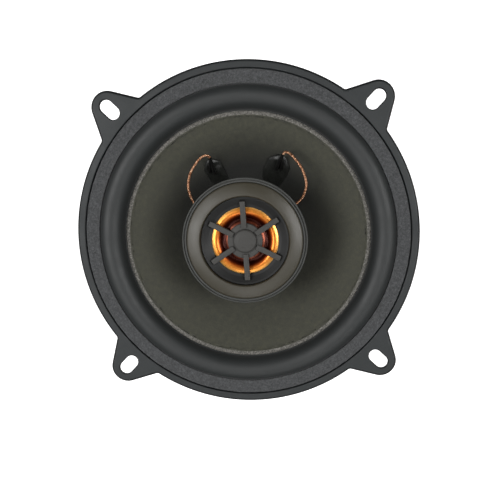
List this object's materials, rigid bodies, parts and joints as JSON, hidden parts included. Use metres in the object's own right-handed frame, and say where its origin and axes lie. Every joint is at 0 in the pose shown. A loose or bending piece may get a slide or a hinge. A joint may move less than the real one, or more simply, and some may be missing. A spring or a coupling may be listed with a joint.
{
  "type": "coaxial car speaker",
  "caption": "Round coaxial car loudspeaker: stamped basket with slotted ears, paper cone, rubber surround and a post-mounted dome tweeter with a spoked phase plug.",
  "frame": {"origin": "centre of the ear-slot pattern on the mounting plane, which is the rear edge of the rim", "axes": "+Z forward along the cone's axis; the slotted ears lie on +X, +Y, -X and -Y; the terminal board lies between +X and +Y"},
  "size_m": [0.153, 0.153, 0.0639],
  "materials": {
    "painted_steel": "satin black paint",
    "plated_steel": "zinc plated",
    "ferrite": "ground ferrite",
    "gasket_foam": "fibrous matt",
    "surround_rubber": "soft satin",
    "cone_paper": "matt treated paper",
    "spider_cloth": "resin-treated cloth",
    "glue": "glossy black adhesive",
    "sleeve": "black lacquered",
    "copper_braid": "twisted tinsel",
    "copper_wire": "enamelled",
    "kapton": "satin film",
    "housing_plastic": "satin moulded",
    "bezel_plastic": "satin moulded",
    "black_plastic": "fine matt",
    "grille_plastic": "fine matt",
    "amber_film": "glossy translucent film",
    "phenolic": "pressed board",
    "tinned_brass": "tinned",
    "capacitor_sleeve": "shrink sleeve"
  },
  "bodies": {
    "chassis": {"basket": "painted_steel", "front_gasket": "gasket_foam", "top_plate": "plated_steel", "magnet": "ferrite", "yoke": "plated_steel", "basket_rivets": "plated_steel", "terminal_board": "phenolic", "terminal_rivets": "tinned_brass", "terminal_tab_wide": "tinned_brass", "terminal_tab_narrow": "tinned_brass", "crossover_capacitor": "capacitor_sleeve", "capacitor_wires": "tinned_brass", "tweeter_post": "black_plastic", "tweeter_bolt": "plated_steel", "bolt_washer": "plated_steel", "tweeter_nut": "plated_steel", "tweeter_housing": "housing_plastic", "tweeter_carrier": "black_plastic", "tweeter_bezel": "bezel_plastic", "tweeter_ring": "black_plastic", "tweeter_grille": "grille_plastic", "tweeter_yoke": "plated_steel", "tweeter_magnet": "plated_steel", "tweeter_pole_plate": "plated_steel"},
    "cone_assembly": {"cone": "cone_paper", "surround": "surround_rubber", "voice_coil_former": "kapton", "voice_coil": "copper_wire", "spider": "spider_cloth", "cone_glue_spots": "glue", "lead_sleeves": "sleeve", "front_lead_left": "copper_braid", "front_lead_right": "copper_braid", "rear_lead_left": "copper_braid", "rear_lead_right": "copper_braid"},
    "tweeter_dome": {"tweeter_diaphragm": "amber_film", "tweeter_voice_coil": "copper_wire"}
  },
  "joints": [
    {"name": "cone_travel", "type": "slide", "parent": "chassis", "child": "cone_assembly", "axis": [0, 0, 1], "range_m": [-0.0035, 0.0035], "stiffness_N_per_m": 1500, "deforming": ["surround", "spider", "front_lead_left", "front_lead_right", "rear_lead_left", "rear_lead_right"]},
    {"name": "dome_travel", "type": "slide", "parent": "chassis", "child": "tweeter_dome", "axis": [0, 0, 1], "range_m": [-0.00025, 0.00025], "stiffness_N_per_m": 500, "deforming": ["tweeter_diaphragm"]}
  ]
}
